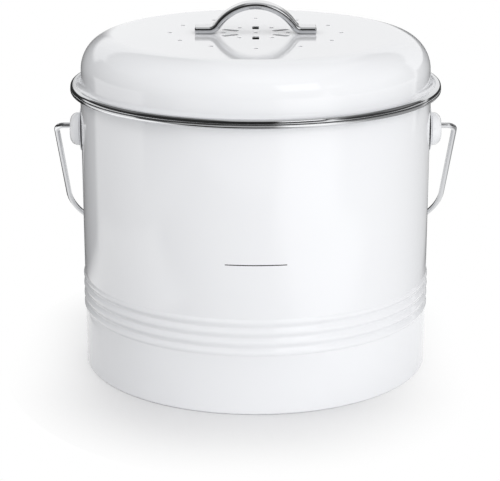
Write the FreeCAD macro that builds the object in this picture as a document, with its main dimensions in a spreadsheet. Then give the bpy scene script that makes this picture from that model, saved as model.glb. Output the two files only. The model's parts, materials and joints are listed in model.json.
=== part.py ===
import FreeCAD, Part
import math
import os

import Sketcher

# A countertop compost bin: a coated steel pail with a wire bail on domed ears, and a lift-off lid
# with vents, a strap handle and a charcoal filter held under it by four clips.
# Millimetres, +Z up. The origin is the middle of the ring that the pail stands on, and -Y is the front.

SIZES = [
    ("body_diameter", 200.0, "pail wall, outside"),
    ("pail_height", 162.8, "table to the top of the pail's rim band"),
    ("sheet_gauge", 0.6, "coated steel sheet of the pail and the lid"),
    ("base_bend", 0.6, "inside radius where the wall turns under"),
    ("base_ledge", 5.0, "width of the ring that the pail stands on"),
    ("floor_height", 5.0, "table to the underside of the floor"),
    ("floor_bend", 2.0, "inside radius at the edge of the floor"),
    ("rib_count", 4, "rolled ribs round the wall"),
    ("rib_pitch", 5.8, "from rib to rib"),
    ("rib_rise", 1.05, "corner of a rib beyond the wall, before it is rounded"),
    ("rib_sink", 0.75, "corner of a valley between ribs below the wall, before it is rounded"),
    ("rib_crest_round", 2.2, "outside radius on top of a rib"),
    ("rib_valley_round", 1.2, "outside radius between ribs"),
    ("rib_top", 53.1, "table to the uppermost rib"),
    ("rim_overhang", 5.6, "rim bands beyond the pail wall"),
    ("rim_fillet", 2.2, "radius under the pail's flange"),
    ("band_height", 2.4, "rolled steel band on each rim"),
    ("band_web", 0.6, "thickness of a band at its outer edge"),
    ("ear_drop", 24.1, "top of the pail's rim band down to the bail's pivot"),
    ("ear_diameter", 19.0, "dome of an ear"),
    ("ear_depth", 6.6, "wall to the face of an ear"),
    ("ear_flange", 25.0, "diameter of the flange round an ear"),
    ("ear_gauge", 1.0, "sheet of an ear"),
    ("ear_round", 4.6, "outside radius of the dome's edge"),
    ("ear_foot", 0.6, "radius between dome and flange"),
    ("wire_diameter", 3.2, "wire of the bail"),
    ("bail_reach", 141.0, "pivot to the middle of the bail's crown"),
    ("bail_corner", 60.0, "centre radius of the large bends"),
    ("bail_bend", 4.5, "centre radius of the bends beside the ears"),
    ("head_diameter", 6.5, "upset head on each end of the wire"),
    ("head_thickness", 2.0, "length of that head"),
    ("lid_height", 29.4, "lid's rim to its flat top"),
    ("lid_shoulder", 19.5, "outside radius of the lid's shoulder"),
    ("lid_fillet", 3.0, "radius between the lid's side and its flange"),
    ("collar_depth", 9.0, "locating collar below the lid's rim"),
    ("collar_rise", 9.0, "locating collar above the lid's rim"),
    ("vent_hole", 2.6, "small vent holes"),
    ("vent_ring", 97.2, "pitch diameter of the outer vent holes"),
    ("vent_count", 12, "outer vent holes"),
    ("inner_ring", 36.6, "pitch diameter of the inner vent holes"),
    ("inner_count", 6, "inner vent holes, and slots between them"),
    ("slot_start", 11.5, "lid's centre to the near end of a slot"),
    ("slot_length", 10.0, "vent slots"),
    ("slot_width", 3.8, "vent slots"),
    ("slot_round", 0.8, "corners of the vent slots"),
    ("strap_width", 12.0, "strap handle, front to back"),
    ("strap_thickness", 4.0, "strap handle"),
    ("strap_round", 1.7, "long edges of the strap"),
    ("foot_length", 7.9, "flat part of each foot of the strap"),
    ("handle_height", 18.0, "lid's top to the crown of the strap"),
    ("handle_crown", 28.0, "outside radius of the crown"),
    ("handle_bend", 4.0, "radius where foot and leg meet, on top"),
    ("leg_angle", 56.0, "slope of the strap's legs, in degrees"),
    ("screw_diameter", 4.0, "screws that hold the strap"),
    ("screw_head", 8.0, "diameter of a screw's head"),
    ("head_height", 2.6, "height of a screw's head"),
    ("head_round", 1.6, "radius on a screw's head"),
    ("screw_roof", 1.0, "strap left above a screw"),
    ("drive_width", 1.2, "slot across a screw's head"),
    ("drive_depth", 1.1, "slot across a screw's head"),
    ("washer_diameter", 9.0, "washers under the screw heads"),
    ("washer_thickness", 0.8, "washers under the screw heads"),
    ("filter_diameter", 120.0, "charcoal filter"),
    ("filter_thickness", 8.0, "charcoal filter"),
    ("filter_round", 1.0, "edges of the charcoal filter"),
    ("clip_count", 4, "clips under the filter's edge"),
    ("clip_width", 12.0, "filter clips"),
    ("clip_gauge", 0.8, "strip of the filter clips"),
    ("clip_bend", 1.0, "inside radius of the clips' bends"),
    ("clip_foot", 8.0, "welded foot of a clip, above the filter"),
    ("clip_lip", 6.0, "lip of a clip under the filter"),
    ("fit_gap", 0.05, "parts of one assembly that are pressed or welded together"),
    ("band_gap", 0.1, "rim band to the sheet that it is rolled over"),
    ("seat_gap", 0.3, "lid's rim to the pail's rim, and other resting parts"),
    ("mouth_gap", 0.6, "lid's side inside the line of the pail wall"),
    ("pivot_gap", 0.3, "wire in the hole of an ear, all round"),
    ("head_gap", 0.5, "wire's head to the inside of an ear"),
    ("leg_gap", 8.2, "face of an ear to the centre of the bail's leg"),
    ("screw_gap", 0.2, "screw in the holes of lid and washer, all round"),
    ("filter_gap", 0.5, "filter to its clips, all round"),
    ("filter_drop", 0.8, "filter below the screw heads"),
]

# The most of a section's thickness that the rounding of one of its two edges may take.
ROUND_SHARE = 0.45
# Degrees in each of the four bends round the back of a rim band.
BACK_BEND = 180 / 4

doc = FreeCAD.newDocument("compost_bin")
sheet = doc.addObject("Spreadsheet::Sheet", "sizes")
for row, (alias, size, note) in enumerate(SIZES, start=1):
    sheet.set(f"A{row}", alias)
    sheet.set(f"B{row}", str(size))
    sheet.set(f"C{row}", note)
    sheet.setAlias(f"B{row}", alias)
doc.recompute()


def value(formula):
    """The number that a formula in the sheet's words gives now."""
    return float(sheet.evalExpression(formula))


# Places that several pieces share, as formulas in the sheet's words.
wall_outer = "(sizes.body_diameter / 2)"
wall_inner = f"({wall_outer} - sizes.sheet_gauge)"
rib_slope = "atan(2 * (sizes.rib_rise + sizes.rib_sink) / sizes.rib_pitch)"
rib_outer = f"({wall_outer} + sizes.rib_rise - sizes.rib_crest_round * (1 / cos({rib_slope}) - 1))"
band_outer = f"({wall_outer} + sizes.rim_overhang)"
flange_outer = f"({band_outer} - sizes.band_web - sizes.band_gap)"
flange_lift = "((sizes.band_height - sizes.sheet_gauge) / 2)"
pail_flange = f"(sizes.pail_height - sizes.band_height + {flange_lift})"
lid_seat = "(sizes.pail_height + sizes.seat_gap)"
lid_outer = f"({wall_outer} - sizes.mouth_gap)"
lid_inner = f"({lid_outer} - sizes.sheet_gauge)"
lid_under = "(sizes.lid_height - sizes.sheet_gauge)"
crown_apex = "(sizes.handle_height + sizes.handle_crown * (1 / cos(sizes.leg_angle) - 1))"
leg_corner = f"(({crown_apex} - sizes.strap_thickness) / tan(sizes.leg_angle))"
foot_start = f"({leg_corner} + sizes.handle_bend * tan(sizes.leg_angle / 2))"
foot_tip = f"({foot_start} + sizes.foot_length)"
screw_place = f"({foot_start} + sizes.foot_length / 2)"
screw_hole = "(sizes.screw_diameter / 2 + sizes.screw_gap)"
filter_top = f"({lid_under} - sizes.washer_thickness - sizes.head_height - sizes.filter_drop)"
filter_bottom = f"({filter_top} - sizes.filter_thickness)"
hole_radius = "(sizes.wire_diameter / 2 + sizes.pivot_gap)"
pivot_height = "(sizes.pail_height - sizes.ear_drop)"
head_face = f"({wall_outer} + sizes.ear_depth - sizes.ear_gauge - sizes.head_gap)"
head_back = f"({head_face} - sizes.head_thickness)"
bail_lean = f"asin(({rib_outer} + sizes.wire_diameter / 2 + sizes.seat_gap) / sizes.bail_reach)"


def new_body(label):
    """An empty body, which becomes one sub-part of this name."""
    body = doc.addObject("PartDesign::Body", label)
    body.Label = label
    return body


def origin_feature(body, role):
    return next(feature for feature in body.Origin.OriginFeatures if feature.Role == role)


def new_sketch(owner, name, plane):
    """A sketch on one of a body's own planes, or by itself on the document's XY plane."""
    if plane is None:
        return owner.addObject("Sketcher::SketchObject", name)
    sketch = owner.newObject("Sketcher::SketchObject", name)
    sketch.AttachmentSupport = [(origin_feature(owner, plane), "")]
    sketch.MapMode = "FlatFace"
    return sketch


def bind(sketch, kind, *spot):
    """Add one dimension to a sketch and tie it to a formula, the last of the arguments."""
    formula = spot[-1]
    index = sketch.addConstraint(Sketcher.Constraint(kind, *spot[:-1], value(formula)))
    sketch.setExpression(f"Constraints[{index}]", formula)


def pin(sketch, item, end, across, up):
    """Hold one point of a sketch at its place from the origin."""
    bind(sketch, "DistanceX", -1, 1, item, end, across)
    bind(sketch, "DistanceY", -1, 1, item, end, up)


def rounding(before, corner, after, radius):
    """Where an arc of this radius touches the two lines that meet at a corner, and its circle's centre."""
    to_before = (before - corner).normalize()
    to_after = (after - corner).normalize()
    half = to_before.getAngle(to_after) / 2
    reach = radius / math.tan(half)
    middle = (to_before + to_after).normalize()
    return corner + to_before * reach, corner + to_after * reach, corner + middle * (radius / math.sin(half))


def draw(sketch, corners, closed=True):
    """Lines from corner to corner. A corner is (across, up), or (across, up, radius) where it is rounded."""
    count = len(corners)
    spots = [FreeCAD.Vector(value(corner[0]), value(corner[1]), 0) for corner in corners]
    lines = count if closed else count - 1
    starts = list(spots)
    ends = spots[1:] + spots[:1]
    arcs = {}
    for index, corner in enumerate(corners):
        if len(corner) == 2:
            continue
        before, after = spots[index - 1], spots[(index + 1) % count]
        first, last, centre = rounding(before, spots[index], after, value(corner[2]))
        ends[index - 1], starts[index] = first, last
        arcs[index] = (first, last, centre)
    for start, end in list(zip(starts, ends))[:lines]:
        sketch.addGeometry(Part.LineSegment(start, end))
    for index, corner in enumerate(corners):
        into, out = (index - 1) % count, index
        if index not in arcs:
            joined = closed or 0 < index < count - 1
            if joined:
                sketch.addConstraint(Sketcher.Constraint("Coincident", into, 2, out, 1))
            if out < lines:
                pin(sketch, out, 1, corner[0], corner[1])
            else:
                pin(sketch, into, 2, corner[0], corner[1])
            continue
        first, last, centre = arcs[index]
        turns_left = (spots[index] - first).cross(last - spots[index]).z > 0
        begin, finish = (first, last) if turns_left else (last, first)
        angles = [math.atan2(spot.y - centre.y, spot.x - centre.x) for spot in (begin, finish)]
        circle = Part.Circle(centre, FreeCAD.Vector(0, 0, 1), (first - centre).Length)
        arc = sketch.addGeometry(Part.ArcOfCircle(circle, *angles))
        point = sketch.addGeometry(Part.Point(spots[index]), True)
        near, far = (1, 2) if turns_left else (2, 1)
        sketch.addConstraint(Sketcher.Constraint("Tangent", into, 2, arc, near))
        sketch.addConstraint(Sketcher.Constraint("Tangent", arc, far, out, 1))
        sketch.addConstraint(Sketcher.Constraint("PointOnObject", point, 1, into))
        sketch.addConstraint(Sketcher.Constraint("PointOnObject", point, 1, out))
        pin(sketch, point, 1, corner[0], corner[1])
        bind(sketch, "Radius", arc, corner[2])


def draw_circle(sketch, across, up, radius):
    """A circle held at its place."""
    centre = FreeCAD.Vector(value(across), value(up), 0)
    circle = sketch.addGeometry(Part.Circle(centre, FreeCAD.Vector(0, 0, 1), value(radius)))
    pin(sketch, circle, 3, across, up)
    bind(sketch, "Radius", circle, radius)


def turn(body, corners, axis="Z_Axis"):
    """Revolve an outline on the body's XZ plane once round one of the body's axes."""
    sketch = new_sketch(body, body.Label + "_outline", "XZ_Plane")
    draw(sketch, corners)
    revolution = body.newObject("PartDesign::Revolution", body.Label + "_turned")
    revolution.Profile = sketch
    revolution.ReferenceAxis = (origin_feature(body, axis), [""])
    revolution.Angle = 360
    doc.recompute()


def pad(body, corners, width):
    """Thicken an outline on the body's XZ plane to both sides of that plane."""
    sketch = new_sketch(body, body.Label + "_outline", "XZ_Plane")
    draw(sketch, corners)
    padded = body.newObject("PartDesign::Pad", body.Label + "_pad")
    padded.Profile = sketch
    padded.SideType = "Symmetric"
    padded.setExpression("Length", width)
    doc.recompute()


def pierce(body, sketch, copies=None):
    """Cut a sketch right through the body, as many times round Z as copies says."""
    before = body.Shape.Volume
    pocket = body.newObject("PartDesign::Pocket", sketch.Name + "_cut")
    pocket.Profile = sketch
    pocket.SideType = "Two sides"
    pocket.Type = "ThroughAll"
    pocket.Type2 = "ThroughAll"
    doc.recompute()
    if copies:
        pattern = body.newObject("PartDesign::PolarPattern", sketch.Name + "_ring")
        pattern.Originals = [pocket]
        pattern.Axis = (origin_feature(body, "Z_Axis"), [""])
        pattern.Angle = 360
        pattern.setExpression("Occurrences", copies)
        body.Tip = pattern
        doc.recompute()
    if body.Shape.Volume >= before:
        raise RuntimeError(sketch.Name + " cuts nothing")


def lift(piece, height):
    """Stand a piece at a height given in the sheet's words."""
    piece.setExpression("Placement.Base.z", height)


def pail_wall():
    """Rolled wall: turned under at the foot, ribs low down, and a flange at the mouth."""
    body = new_body("pail_wall")
    ledge = f"({wall_outer} - sizes.base_ledge)"
    rib_skin = f"(sizes.sheet_gauge / cos({rib_slope}))"
    end_shift = f"(sizes.sheet_gauge * tan({rib_slope} / 2))"
    end_reach = f"(sizes.rib_rise / tan({rib_slope}))"
    crest = f"({wall_outer} + sizes.rib_rise)"
    valley = f"({wall_outer} - sizes.rib_sink)"
    valley_inside = "sizes.rib_valley_round + sizes.sheet_gauge"
    count = int(value("sizes.rib_count"))
    lowest = f"(sizes.rib_top - {count - 1} * sizes.rib_pitch)"
    outside = [(wall_outer, f"{lowest} - {end_reach}", "sizes.rib_valley_round")]
    inside = [(wall_inner, f"{lowest} - {end_reach} + {end_shift}", valley_inside)]
    for number in range(count):
        height = f"({lowest} + {number} * sizes.rib_pitch)"
        if number:
            between = f"{height} - sizes.rib_pitch / 2"
            outside.append((valley, between, "sizes.rib_valley_round"))
            inside.append((f"{valley} - {rib_skin}", between, valley_inside))
        outside.append((crest, height, "sizes.rib_crest_round"))
        inside.append((f"{crest} - {rib_skin}", height, "sizes.rib_crest_round - sizes.sheet_gauge"))
    outside.append((wall_outer, f"sizes.rib_top + {end_reach}", "sizes.rib_valley_round"))
    inside.append((wall_inner, f"sizes.rib_top + {end_reach} - {end_shift}", valley_inside))
    mouth = f"({pail_flange} + sizes.sheet_gauge)"
    turn(body, [
        (ledge, "0"),
        (wall_outer, "0", "sizes.base_bend + sizes.sheet_gauge"),
        *outside,
        (wall_outer, pail_flange, "sizes.rim_fillet"),
        (flange_outer, pail_flange),
        (flange_outer, mouth),
        (wall_inner, mouth, "sizes.rim_fillet + sizes.sheet_gauge"),
        *reversed(inside),
        (wall_inner, "sizes.sheet_gauge", "sizes.base_bend"),
        (ledge, "sizes.sheet_gauge"),
    ])
    return body


def pail_floor():
    """Pressed floor: a dish upside down, whose edge is seamed to the wall above its bend."""
    body = new_body("pail_floor")
    edge = f"({wall_inner} - sizes.fit_gap)"
    inner = f"({edge} - sizes.sheet_gauge)"
    foot = "sizes.sheet_gauge + sizes.base_bend"
    top = "(sizes.floor_height + sizes.sheet_gauge)"
    turn(body, [
        ("0", "sizes.floor_height"),
        (inner, "sizes.floor_height", "sizes.floor_bend"),
        (inner, foot),
        (edge, foot),
        (edge, top, "sizes.floor_bend + sizes.sheet_gauge"),
        ("0", top),
    ])
    return body


def rim_band(label, start, base):
    """Polished band rolled over a flange: a U in section, open towards the axis, with a round back."""
    body = new_body(label)
    back_round = f"{ROUND_SHARE} * sizes.band_height"
    # The round back is four equal bends, and this is how far each slanting side reaches.
    slant = f"(sizes.band_height / 2 * (1 - tan({BACK_BEND} / 2)))"
    slot_end = f"{flange_outer} + sizes.band_gap"
    slot_top = f"{flange_lift} + sizes.sheet_gauge"
    turn(body, [
        (start, "0"),
        (f"{band_outer} - {slant}", "0", back_round),
        (band_outer, slant, back_round),
        (band_outer, f"sizes.band_height - {slant}", back_round),
        (f"{band_outer} - {slant}", "sizes.band_height", back_round),
        (start, "sizes.band_height"),
        (start, slot_top),
        (slot_end, slot_top),
        (slot_end, flange_lift),
        (start, flange_lift),
    ])
    lift(body, base)
    return body


def ear(label, side):
    """Domed ear on the wall: a pressed cup with a flange and a hole for the bail."""
    body = new_body(label)
    dome = "sizes.ear_diameter / 2"
    hollow = f"{dome} - sizes.ear_gauge"
    ceiling = "sizes.ear_depth - sizes.ear_gauge"
    turn(body, [
        ("0", "sizes.ear_flange / 2"),
        ("0", hollow, "sizes.ear_foot + sizes.ear_gauge"),
        (ceiling, hollow, "sizes.ear_round - sizes.ear_gauge"),
        (ceiling, hole_radius),
        ("sizes.ear_depth", hole_radius),
        ("sizes.ear_depth", dome, "sizes.ear_round"),
        ("sizes.ear_gauge", dome, "sizes.ear_foot"),
        ("sizes.ear_gauge", "sizes.ear_flange / 2"),
    ], axis="X_Axis")
    facing = 0 if side > 0 else 180
    body.Placement = FreeCAD.Placement(FreeCAD.Vector(), FreeCAD.Rotation(FreeCAD.Vector(0, 0, 1), facing))
    body.setExpression("Placement.Base.x", f"{side} * {wall_outer}")
    lift(body, pivot_height)
    return body


def bail_wire():
    """Wire bail with upset ends inside the ears. It hangs behind the pail and leans on the ribs."""
    path = new_sketch(doc, "bail_path", None)
    leg = f"({wall_outer} + sizes.ear_depth + sizes.leg_gap)"
    draw(path, [
        (head_back, "0"),
        (leg, "0", "sizes.bail_bend"),
        (leg, "sizes.bail_reach", "sizes.bail_corner"),
        (f"-{leg}", "sizes.bail_reach", "sizes.bail_corner"),
        (f"-{leg}", "0", "sizes.bail_bend"),
        (f"-{head_back}", "0"),
    ], closed=False)
    doc.recompute()
    across = FreeCAD.Rotation(FreeCAD.Vector(0, 1, 0), 90)
    section = doc.addObject("Part::Circle", "bail_section")
    section.setExpression("Radius", "sizes.wire_diameter / 2")
    section.Placement = FreeCAD.Placement(FreeCAD.Vector(), across)
    section.setExpression("Placement.Base.x", head_back)
    wire = doc.addObject("Part::Sweep", "bail_sweep")
    wire.Sections = [section]
    wire.Spine = (path, [f"Edge{number + 1}" for number in range(len(path.Shape.Edges))])
    wire.Solid = True
    heads = []
    for start in (head_back, f"-{head_face}"):
        head = doc.addObject("Part::Cylinder", "bail_head")
        head.setExpression("Radius", "sizes.head_diameter / 2")
        head.setExpression("Height", "sizes.head_thickness")
        head.Placement = FreeCAD.Placement(FreeCAD.Vector(), across)
        head.setExpression("Placement.Base.x", start)
        heads.append(head)
    bail = doc.addObject("Part::MultiFuse", "bail_wire")
    bail.Label = "bail_wire"
    bail.Shapes = [wire, *heads]
    below_level = f"90 deg - {bail_lean}"
    down = FreeCAD.Rotation(FreeCAD.Vector(-1, 0, 0), value(below_level))
    bail.Placement = FreeCAD.Placement(FreeCAD.Vector(), down)
    bail.setExpression("Placement.Rotation.Angle", below_level)
    lift(bail, pivot_height)
    doc.recompute()
    return bail


def lid_shell():
    """Pressed lid: flat top, wide round shoulder, short side and a flange, pierced by the vents."""
    body = new_body("lid_shell")
    flange_top = f"({flange_lift} + sizes.sheet_gauge)"
    turn(body, [
        ("0", "sizes.lid_height"),
        ("0", lid_under),
        (lid_inner, lid_under, "sizes.lid_shoulder - sizes.sheet_gauge"),
        (lid_inner, flange_lift, "sizes.lid_fillet + sizes.sheet_gauge"),
        (flange_outer, flange_lift),
        (flange_outer, flange_top),
        (lid_outer, flange_top, "sizes.lid_fillet"),
        (lid_outer, "sizes.lid_height", "sizes.lid_shoulder"),
    ])
    centre = new_sketch(body, "centre_vent", "XY_Plane")
    draw_circle(centre, "0", "0", "sizes.vent_hole / 2")
    pierce(body, centre)
    outer = new_sketch(body, "outer_vents", "XY_Plane")
    draw_circle(outer, "sizes.vent_ring / 2", "0", "sizes.vent_hole / 2")
    pierce(body, outer, "sizes.vent_count")
    inner = new_sketch(body, "inner_vents", "XY_Plane")
    draw_circle(inner, "sizes.inner_ring / 2", "0", "sizes.vent_hole / 2")
    pierce(body, inner, "sizes.inner_count")
    slots = new_sketch(body, "vent_slots", "XY_Plane")
    slot_end = "sizes.slot_start + sizes.slot_length"
    draw(slots, [
        ("-sizes.slot_width / 2", "sizes.slot_start", "sizes.slot_round"),
        ("sizes.slot_width / 2", "sizes.slot_start", "sizes.slot_round"),
        ("sizes.slot_width / 2", slot_end, "sizes.slot_round"),
        ("-sizes.slot_width / 2", slot_end, "sizes.slot_round"),
    ])
    pierce(body, slots, "sizes.inner_count")
    screws = new_sketch(body, "screw_holes", "XY_Plane")
    draw_circle(screws, screw_place, "0", screw_hole)
    draw_circle(screws, f"-{screw_place}", "0", screw_hole)
    pierce(body, screws)
    lift(body, lid_seat)
    return body


def lid_collar():
    """Strip ring welded inside the lid's side, which finds the pail's mouth."""
    body = new_body("lid_collar")
    outer = f"({lid_inner} - sizes.fit_gap)"
    inner = f"({outer} - sizes.sheet_gauge)"
    turn(body, [
        (inner, "-sizes.collar_depth"),
        (outer, "-sizes.collar_depth"),
        (outer, "sizes.collar_rise"),
        (inner, "sizes.collar_rise"),
    ])
    lift(body, lid_seat)
    return body


def lid_handle():
    """Bent strap with two flat feet, rounded along its edges and drilled from below for the screws."""
    body = new_body("lid_handle")
    half = "(sizes.strap_thickness / 2)"
    corner = f"({leg_corner} - {half} * tan(sizes.leg_angle / 2))"
    bend = f"sizes.handle_bend + {half}"
    spine = new_sketch(body, "strap_line", "XZ_Plane")
    draw(spine, [
        (foot_tip, half),
        (corner, half, bend),
        ("0", f"{crown_apex} - {half} / cos(sizes.leg_angle)", f"sizes.handle_crown - {half}"),
        (f"-{corner}", half, bend),
        (f"-{foot_tip}", half),
    ], closed=False)
    section = new_sketch(body, "strap_section", "YZ_Plane")
    section.setExpression("AttachmentOffset.Base.z", foot_tip)
    side = "sizes.strap_width / 2"
    edge_round = f"min(sizes.strap_round; {ROUND_SHARE} * sizes.strap_thickness)"
    draw(section, [
        (f"-{side}", "0", edge_round),
        (side, "0", edge_round),
        (side, "sizes.strap_thickness", edge_round),
        (f"-{side}", "sizes.strap_thickness", edge_round),
    ])
    doc.recompute()
    strap = body.newObject("PartDesign::AdditivePipe", "strap")
    strap.Profile = section
    strap.Spine = (spine, [f"Edge{number + 1}" for number in range(len(spine.Shape.Edges))])
    doc.recompute()
    holes = new_sketch(body, "strap_holes", "XY_Plane")
    radius = "sizes.screw_diameter / 2 + sizes.fit_gap"
    draw_circle(holes, screw_place, "0", radius)
    draw_circle(holes, f"-{screw_place}", "0", radius)
    before = body.Shape.Volume
    pocket = body.newObject("PartDesign::Pocket", "strap_holes_cut")
    pocket.Profile = holes
    pocket.Reversed = True
    pocket.setExpression("Length", "sizes.strap_thickness - sizes.screw_roof + sizes.fit_gap")
    doc.recompute()
    if body.Shape.Volume >= before:
        raise RuntimeError("the strap's holes cut nothing")
    lift(body, f"{lid_seat} + sizes.lid_height")
    return body


def pair(label, make):
    """Two like pieces, one under each foot of the strap, as one group."""
    group = doc.addObject("Part::Compound", label)
    group.Label = label
    pieces = []
    for side, word in ((1, "right"), (-1, "left")):
        piece = make(f"{label}_{word}")
        piece.setExpression("Placement.Base.x", f"{side} * {screw_place}")
        lift(piece, f"{lid_seat} + {lid_under}")
        pieces.append(piece)
    group.Links = pieces
    doc.recompute()
    return group


def handle_screw(label):
    """Pan-head screw, head down, measured from the lid's underside."""
    body = new_body(label)
    seat = "-sizes.washer_thickness"
    bottom = f"({seat} - sizes.head_height)"
    shank = "sizes.screw_diameter / 2"
    tip = "sizes.sheet_gauge + sizes.strap_thickness - sizes.screw_roof"
    turn(body, [
        ("0", bottom),
        ("sizes.screw_head / 2", bottom, "sizes.head_round"),
        ("sizes.screw_head / 2", seat),
        (shank, seat),
        (shank, tip),
        ("0", tip),
    ])
    drive = new_sketch(body, label + "_drive", "XZ_Plane")
    draw(drive, [
        ("-sizes.drive_width / 2", f"{bottom} - sizes.drive_depth"),
        ("sizes.drive_width / 2", f"{bottom} - sizes.drive_depth"),
        ("sizes.drive_width / 2", f"{bottom} + sizes.drive_depth"),
        ("-sizes.drive_width / 2", f"{bottom} + sizes.drive_depth"),
    ])
    pierce(body, drive)
    return body


def handle_washer(label):
    """Flat washer between a screw's head and the lid's underside."""
    body = new_body(label)
    turn(body, [
        (screw_hole, "-sizes.washer_thickness"),
        ("sizes.washer_diameter / 2", "-sizes.washer_thickness"),
        ("sizes.washer_diameter / 2", "0"),
        (screw_hole, "0"),
    ])
    return body


def charcoal_filter():
    """Foam disc below the vents."""
    body = new_body("charcoal_filter")
    turn(body, [
        ("0", filter_bottom),
        ("sizes.filter_diameter / 2", filter_bottom, "sizes.filter_round"),
        ("sizes.filter_diameter / 2", filter_top, "sizes.filter_round"),
        ("0", filter_top),
    ])
    lift(body, lid_seat)
    return body


def filter_clip(label, bearing):
    """Strip bent round the filter's edge: its foot is welded to the lid, and its lip holds the filter."""
    body = new_body(label)
    near = "(sizes.filter_diameter / 2 + sizes.filter_gap)"
    far = f"({near} + sizes.clip_gauge)"
    foot_end = f"({near} - sizes.clip_foot)"
    foot_under = f"({lid_under} - sizes.clip_gauge)"
    lip_end = f"({near} - sizes.clip_lip)"
    lip_top = f"({filter_bottom} - sizes.seat_gap)"
    lip_under = f"({lip_top} - sizes.clip_gauge)"
    outside = "sizes.clip_bend + sizes.clip_gauge"
    pad(body, [
        (foot_end, lid_under),
        (foot_end, foot_under),
        (near, foot_under, "sizes.clip_bend"),
        (near, lip_top, "sizes.clip_bend"),
        (lip_end, lip_top),
        (lip_end, lip_under),
        (far, lip_under, outside),
        (far, lid_under, outside),
    ], "sizes.clip_width")
    body.Placement = FreeCAD.Placement(FreeCAD.Vector(), FreeCAD.Rotation(FreeCAD.Vector(0, 0, 1), bearing))
    lift(body, lid_seat)
    return body


pieces = [
    pail_wall(),
    pail_floor(),
    rim_band("pail_rim_band", f"{wall_outer} + sizes.rim_fillet + sizes.band_gap",
             "sizes.pail_height - sizes.band_height"),
    ear("right_ear", 1),
    ear("left_ear", -1),
    bail_wire(),
    lid_shell(),
    rim_band("lid_rim_band", f"{lid_outer} + sizes.lid_fillet + sizes.band_gap", lid_seat),
    lid_collar(),
    lid_handle(),
    pair("handle_screws", handle_screw),
    pair("handle_washers", handle_washer),
    charcoal_filter(),
]
clips = int(value("sizes.clip_count"))
for number in range(clips):
    pieces.append(filter_clip(f"filter_clip_{number + 1}", (number + 0.5) * 360 / clips))

doc.recompute()
for item in doc.Objects:
    if "Invalid" in item.State or "Error" in item.State:
        raise RuntimeError(f"{item.Name} failed: {item.State}")
for piece in pieces:
    if piece.Shape.isNull() or not piece.Shape.isValid() or not piece.Shape.Solids:
        raise RuntimeError(f"{piece.Label} has no sound solid")

os.makedirs("parts", exist_ok=True)
for piece in pieces:
    piece.Shape.exportStep(f"parts/{piece.Label}.step")
    box = piece.Shape.BoundBox
    print(f"{piece.Label}: {len(piece.Shape.Solids)} solid(s), {piece.Shape.Volume:.1f} mm3,",
          f"z {box.ZMin:.2f} to {box.ZMax:.2f}")
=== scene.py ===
import json
import math

import bpy
from mathutils import Matrix, Vector


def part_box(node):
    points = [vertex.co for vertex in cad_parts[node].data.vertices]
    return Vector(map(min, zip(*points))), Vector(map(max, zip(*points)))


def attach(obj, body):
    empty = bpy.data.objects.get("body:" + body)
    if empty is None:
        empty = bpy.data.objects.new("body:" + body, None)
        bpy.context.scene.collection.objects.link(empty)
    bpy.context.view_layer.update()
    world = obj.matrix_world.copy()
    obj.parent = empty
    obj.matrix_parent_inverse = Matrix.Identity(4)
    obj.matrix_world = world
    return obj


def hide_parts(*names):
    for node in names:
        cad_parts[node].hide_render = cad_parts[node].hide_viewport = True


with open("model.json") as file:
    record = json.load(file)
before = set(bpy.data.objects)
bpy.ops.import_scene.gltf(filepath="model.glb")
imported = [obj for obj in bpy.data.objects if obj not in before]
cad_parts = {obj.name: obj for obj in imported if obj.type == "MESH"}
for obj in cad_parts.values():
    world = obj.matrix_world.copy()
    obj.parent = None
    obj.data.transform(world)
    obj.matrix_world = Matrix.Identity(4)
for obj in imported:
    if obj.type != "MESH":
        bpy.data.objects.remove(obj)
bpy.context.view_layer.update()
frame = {"nodes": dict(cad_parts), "record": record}

bl_info = {
    "name": "Kitchen compost bin",
    "version": (1, 0, 0),
    "blender": (4, 5, 0),
    "location": "3D View > Sidebar > Compost Bin",
    "description": "Dresses a compost bin's solids: coated pail and lid, polished rims, bail and strap",
    "category": "Object",
}

MM = 0.001
ORIGIN = Vector((0.0, 0.0, 0.0))
UPRIGHT = Vector((0.0, 0.0, 1.0))
ACROSS = Vector((1.0, 0.0, 0.0))
# How far the chords of a drawn arc may stand off it.
CHORD_SAG = 0.01 * MM
# The fewest chords in any arc.
ARC_CHORDS = 3
# Points closer than this are one point.
MERGE = 0.001 * MM
# Faces that meet at more than this angle keep a crisp edge between them.
CRISP = math.radians(32)
# Steps of a full turn, for the wide pieces and for the ears.
WIDE_STEPS = 216
EAR_STEPS = 72
# Sides of the round punches, of the foam disc and of the studio's paper.
PUNCH_SIDES = 32
FOAM_SIDES = 96
PAPER_SIDES = 128
# Steps across the rounded edges of a slot punch, of the strap's ends and of the foam.
SLOT_STEPS = 6
TIP_STEPS = 5
FOAM_STEPS = 3
# How many times its radius a round punch is long.
PUNCH_REACH = 10

# Corners of the solids that the pieces below are fitted to.
WALL_LOW, WALL_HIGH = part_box("pail_wall")
FLOOR_LOW, FLOOR_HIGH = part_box("pail_floor")
PAIL_RIM_LOW, PAIL_RIM_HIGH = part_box("pail_rim_band")
EAR_LOW, EAR_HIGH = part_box("right_ear")
LID_LOW, LID_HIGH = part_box("lid_shell")
LID_RIM_LOW, LID_RIM_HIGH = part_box("lid_rim_band")
COLLAR_LOW, COLLAR_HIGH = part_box("lid_collar")
STRAP_LOW, STRAP_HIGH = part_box("lid_handle")
FILTER_LOW, FILTER_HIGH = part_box("charcoal_filter")
BAIL_LOW, BAIL_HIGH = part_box("bail_wire")
# Height of the bail's axis, and its middle.
PIVOT = (EAR_LOW.z + EAR_HIGH.z) / 2
PIVOT_MIDDLE = Vector((0.0, 0.0, PIVOT))


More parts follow.
